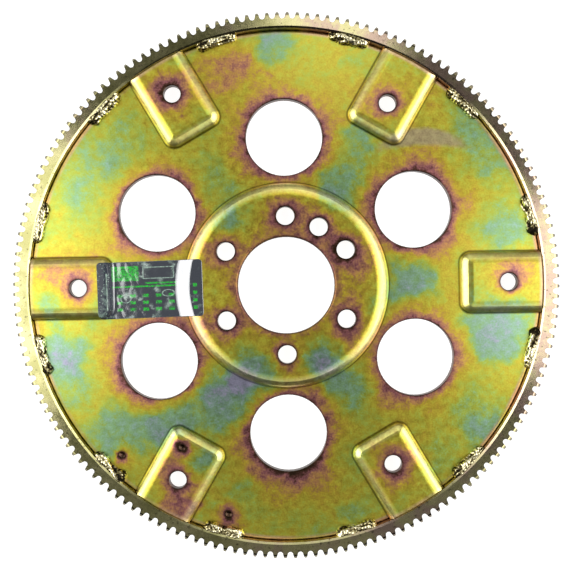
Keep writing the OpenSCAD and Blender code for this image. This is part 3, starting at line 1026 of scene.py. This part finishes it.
def film_shape(settings):
    """Top points and UV of the film.

    A rounded rectangle is laid on the plate: s runs along it and t across, and near a corner the half length
    shrinks by r - sqrt(r^2 - over^2). The film bridges hollow corners, so its height is the larger of
    the bed and the softened bed, and a fold and small waves are added near its outer end.
    """
    steps, rows = 220, 110
    half_l = settings.length / 2
    half_w = settings.width / 2
    across = np.linspace(-1, 1, rows)[None, :] * half_w
    over = np.maximum(np.abs(across) - (half_w - settings.corner), 0)
    reach = half_l - settings.corner + np.sqrt(np.maximum(settings.corner ** 2 - over ** 2, 0))
    along = np.linspace(-1, 1, steps)[:, None] * reach
    across = np.broadcast_to(across, along.shape)
    centre_x = settings.lap - HUB_FOOT_R - half_l
    cos, sin = math.cos(settings.turn), math.sin(settings.turn)
    x = centre_x + along * cos - across * sin
    y = settings.drift + along * sin + across * cos
    bed = bed_height(x, y)
    flat = np.stack((x, y, np.zeros_like(x)), -1)
    fold_at = -half_l + 6.6 * MM + 0.8 * MM * np.sin(across / (5.5 * MM))
    fold = 0.3 * MM * np.exp(-((along - fold_at) / (0.6 * MM)) ** 2)
    near_fold = np.exp(-((along + half_l - 4 * MM) / (3.5 * MM)) ** 2)
    creases = 0.1 * MM * np.abs(waves(flat, 2.6 * MM, 14, 11)) * near_fold
    ripples = 0.035 * MM * np.abs(waves(flat, 9 * MM, 10, 12))
    edge = smooth_step(np.minimum(half_w - np.abs(across), reach - np.abs(along)), 0, 1.5 * MM)
    lift = settings.thickness + (fold + creases + ripples) * edge
    top = np.maximum(bed, softened(bed, 14)) + lift
    limit = TOP_Z + settings.thickness
    points = np.stack((x, y, np.minimum(top, limit)), -1)
    uv = np.stack((along / settings.length + 0.5, across / settings.width + 0.5), -1)
    return points, uv


def sheet_faces(steps, rows):
    """Quads of two stacked grids, top then bottom, joined along their rim."""
    count = steps * rows
    corner = np.arange(steps - 1)[:, None] * rows + np.arange(rows - 1)[None, :]
    top = np.stack((corner, corner + rows, corner + rows + 1, corner + 1), -1).reshape(-1, 4)
    bottom = top[:, ::-1] + count
    grid = np.arange(count).reshape(steps, rows)
    rim = np.concatenate((grid[:, 0], grid[-1, 1:], grid[-2::-1, -1], grid[0, -2:0:-1]))
    after = np.roll(rim, -1)
    sides = np.stack((after, rim, rim + count, after + count), -1)
    return np.concatenate((top, bottom, sides)).tolist()


class FLEXPLATE_OT_plate(bpy.types.Operator):
    """Finish the pressed plate with iridescent plating."""

    bl_idname = "flexplate.plate"
    bl_label = "Finish the plate"

    def execute(self, context):
        finish_node("plate", plated_sheet(context.scene.flexplate_plating))
        return {"FINISHED"}


class FLEXPLATE_OT_ring(bpy.types.Operator):
    """Finish the starter ring gear."""

    bl_idname = "flexplate.ring"
    bl_label = "Finish the ring gear"

    def execute(self, context):
        finish_node("ring_gear", machined_ring(context.scene.flexplate_ring))
        return {"FINISHED"}


class FLEXPLATE_OT_welds(bpy.types.Operator):
    """Lay a lumpy stitch weld over each bead of the frame."""

    bl_idname = "flexplate.welds"
    bl_label = "Lay the stitch welds"

    def execute(self, context):
        settings = context.scene.flexplate_weld
        material = weld_metal(settings)
        for number, node in enumerate(WELD_NODES, 1):
            low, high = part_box(node)
            middle = (low + high) / 2
            points, crest = weld_shape(settings, math.atan2(middle.y, middle.x), number)
            piece = mesh_piece(f"stitch_weld_{number:02d}", points, tube_faces(*crest.shape), material)
            heights = piece.data.attributes.new("crest", "FLOAT", "POINT")
            heights.data.foreach_set("value", crest.astype(np.float32).ravel())
            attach(piece, BODY)
            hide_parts(node)
        return {"FINISHED"}


class FLEXPLATE_OT_sticker(bpy.types.Operator):
    """Lay the printed film over the pad's end, the sheet and the hub's shoulder."""

    bl_idname = "flexplate.sticker"
    bl_label = "Lay the film"

    def execute(self, context):
        settings = context.scene.flexplate_sticker
        points, uv = film_shape(settings)
        steps, rows = uv.shape[:2]
        below = points - (0, 0, 0.9 * settings.thickness)
        both = np.concatenate((points, below))
        piece = mesh_piece("printed_film", both, sheet_faces(steps, rows), printed_film(settings))
        mesh = piece.data
        corners = np.zeros(len(mesh.loops), np.int32)
        mesh.loops.foreach_get("vertex_index", corners)
        flat_uv = np.concatenate((uv.reshape(-1, 2), uv.reshape(-1, 2)))
        layer = mesh.uv_layers.new(name="film")
        layer.data.foreach_set("uv", flat_uv[corners].astype(np.float32).ravel())
        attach(piece, BODY)
        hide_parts("sticker")
        return {"FINISHED"}


def floor_material(settings):
    """A floor that stays near white where it is seen and still takes the part's shadow."""
    material, wires, shader = new_material("pale_floor")
    material.node_tree.nodes.remove(shader)
    rays = wires.node("ShaderNodeLightPath").outputs
    seen = wires.math("MAXIMUM", rays["Is Camera Ray"], rays["Is Glossy Ray"])
    seen = wires.math("MAXIMUM", seen, rays["Is Transmission Ray"])
    plain = wires.node("ShaderNodeBsdfDiffuse", {"Color": as_colour(settings.floor)}).outputs[0]
    glow = wires.node("ShaderNodeEmission", {"Strength": settings.floor_glow}).outputs[0]
    faint = wires.node("ShaderNodeBsdfDiffuse", {"Color": as_colour((0.3, 0.3, 0.3))}).outputs[0]
    lit = wires.node("ShaderNodeAddShader", {0: glow, 1: faint}).outputs[0]
    shown = wires.node("ShaderNodeMixShader", {0: seen, 1: plain, 2: lit}).outputs[0]
    wires.feed(material.node_tree.nodes["Material Output"].inputs["Surface"], shown)
    return material


def make_floor(settings):
    """A round floor under the part: rings of points at growing radii."""
    rings, turns = 12, 96
    radius = np.linspace(0.02, 1.0, rings)[:, None] ** 2 * 8.0
    angle = np.linspace(0, 2 * math.pi, turns, endpoint=False)[None, :]
    level = CAD_BOX[0].z - 0.02 * MM
    points = np.stack(np.broadcast_arrays(radius * np.cos(angle), radius * np.sin(angle), level), -1)
    floor = mesh_piece("floor", points, tube_faces(rings, turns)[:-1], floor_material(settings))


def make_lamp(name, azimuth, width, radiance):
    """A rectangular soft lamp that faces the part from an azimuth, with its brightness given per area."""
    light = bpy.data.lights.new(name, "AREA")
    light.shape = "RECTANGLE"
    light.size = width
    light.size_y = SOFTBOX_HEIGHT
    light.energy = 4 * radiance * width * SOFTBOX_HEIGHT
    lamp = bpy.data.objects.new(name, light)
    bpy.context.scene.collection.objects.link(lamp)
    turn = math.radians(azimuth)
    level = math.cos(SOFTBOX_ELEVATION)
    outward = Vector((math.cos(turn) * level, math.sin(turn) * level, math.sin(SOFTBOX_ELEVATION)))
    lamp.location = outward * SOFTBOX_DISTANCE
    lamp.rotation_euler = outward.to_track_quat("Z", "Y").to_euler()


def climb(wires, rise, low, high, to_low=0.0, to_high=1.0):
    """A level that changes between two elevations in degrees; rise is the sine of the elevation."""
    return wires.span(rise, math.sin(math.radians(low)), math.sin(math.radians(high)), to_low, to_high)


def wall_level(wires, settings, x, y, rise):
    """Brightness of the far wall and the side walls, dimmer in the far corners and near the floor."""
    aside = wires.math("ABSOLUTE", x)
    high_walls = wires.span(aside, 0.2, 0.9, settings.sky_far, 0.9 * settings.sky_side)
    low_walls = wires.span(aside, 0.52, 0.92, 0.25 * settings.sky_far, 2.1 * settings.sky_side)
    middle = wires.span(y, 0.89, 0.97, 0.0, 0.8 * settings.sky_far)
    low_walls = wires.math("ADD", low_walls, middle)
    low_walls = wires.product(low_walls, climb(wires, rise, 12, 26, 0.14, 1.0))
    walls = wires.blend(climb(wires, rise, 40, 50, 1.0, 0.0), high_walls, low_walls)
    corner = wires.product(wires.span(aside, 0.26, 0.5), wires.span(aside, 0.7, 0.88, 1.0, 0.0))
    corner = wires.product(corner, wires.span(y, 0.0, 0.3, 0.0, -0.4))
    return wires.math("MULTIPLY_ADD", corner, walls, walls)


def make_sky(settings):
    """A soft studio round the part: bright side walls and far wall, a dark near side and a dark ceiling.

    The camera itself sees plain white.
    """
    world = bpy.data.worlds.new("studio")
    world.use_nodes = True
    bpy.context.scene.world = world
    wires = Wiring(world.node_tree)
    direction = wires.node("ShaderNodeTexCoord").outputs["Generated"]
    level_part = wires.vector_math("MULTIPLY", direction, (1.0, 1.0, 0.0))
    heading = wires.vector_math("NORMALIZE", level_part)
    x, y, _ = wires.separate(heading)
    rise = wires.separate(direction)[2]
    near = (math.cos(NEAR_SIDE), math.sin(NEAR_SIDE), 0.0)
    towards = wires.node(
        "ShaderNodeVectorMath", {0: heading, 1: near}, operation="DOT_PRODUCT"
    ).outputs["Value"]
    shade = wires.span(towards, 0.6, 0.77)
    near_wall = climb(wires, rise, 28, 58, 0.02, settings.sky_near)
    around = wires.blend(shade, wall_level(wires, settings, x, y, rise), near_wall)
    overhead = wires.math("MULTIPLY_ADD", shade, 0.07, settings.sky_dark)
    level = wires.blend(climb(wires, rise, 54, 63), around, overhead)
    seen = wires.node("ShaderNodeLightPath").outputs["Is Camera Ray"]
    background = world.node_tree.nodes["Background"]
    background.inputs["Color"].default_value = (1.0, 1.0, 1.0, 1.0)
    wires.feed(background.inputs["Strength"], wires.blend(seen, level, 1.0))


def make_camera(settings):
    """A camera that looks straight down on the part."""
    data = bpy.data.cameras.new("photo_camera")
    data.lens = settings.lens
    data.sensor_width = settings.sensor
    data.clip_start = 0.01
    camera = bpy.data.objects.new("photo_camera", data)
    bpy.context.scene.collection.objects.link(camera)
    camera.location = (*settings.aside, TOP_Z + settings.height)
    camera.rotation_euler = (0.0, 0.0, settings.roll)
    bpy.context.scene.camera = camera


class FLEXPLATE_OT_stage(bpy.types.Operator):
    """Set the floor, the lamps, the studio and the camera."""

    bl_idname = "flexplate.stage"
    bl_label = "Set the stage"

    def execute(self, context):
        settings = context.scene.flexplate_stage
        context.scene.view_settings.view_transform = "Standard"
        make_floor(settings)
        make_sky(settings)
        for softbox in SOFTBOXES:
            make_lamp(*softbox)
        make_camera(settings)
        return {"FINISHED"}


class FLEXPLATE_PT_panel(bpy.types.Panel):
    """Steps that dress the flexplate."""

    bl_idname = "FLEXPLATE_PT_panel"
    bl_label = "Flexplate"
    bl_space_type = "VIEW_3D"
    bl_region_type = "UI"
    bl_category = "Flexplate"

    def draw(self, context):
        for operator in OPERATORS:
            self.layout.operator(operator.bl_idname)


SETTINGS = {
    "flexplate_plating": PlatingSettings,
    "flexplate_ring": RingSettings,
    "flexplate_weld": WeldSettings,
    "flexplate_sticker": StickerSettings,
    "flexplate_stage": StageSettings,
}
OPERATORS = (
    FLEXPLATE_OT_plate,
    FLEXPLATE_OT_ring,
    FLEXPLATE_OT_welds,
    FLEXPLATE_OT_sticker,
    FLEXPLATE_OT_stage,
)


def register():
    """Register every class and hang the settings on the scene."""
    for group in (*SETTINGS.values(), *OPERATORS, FLEXPLATE_PT_panel):
        bpy.utils.register_class(group)
    for name, group in SETTINGS.items():
        setattr(bpy.types.Scene, name, bpy.props.PointerProperty(type=group))


def unregister():
    """Take the settings off the scene and unregister every class."""
    for name in SETTINGS:
        delattr(bpy.types.Scene, name)
    for group in reversed((*SETTINGS.values(), *OPERATORS, FLEXPLATE_PT_panel)):
        bpy.utils.unregister_class(group)


def main():
    """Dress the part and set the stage."""
    register()
    bpy.ops.flexplate.plate()
    bpy.ops.flexplate.ring()
    bpy.ops.flexplate.welds()
    bpy.ops.flexplate.sticker()
    bpy.ops.flexplate.stage()


if __name__ == "__main__":
    main()
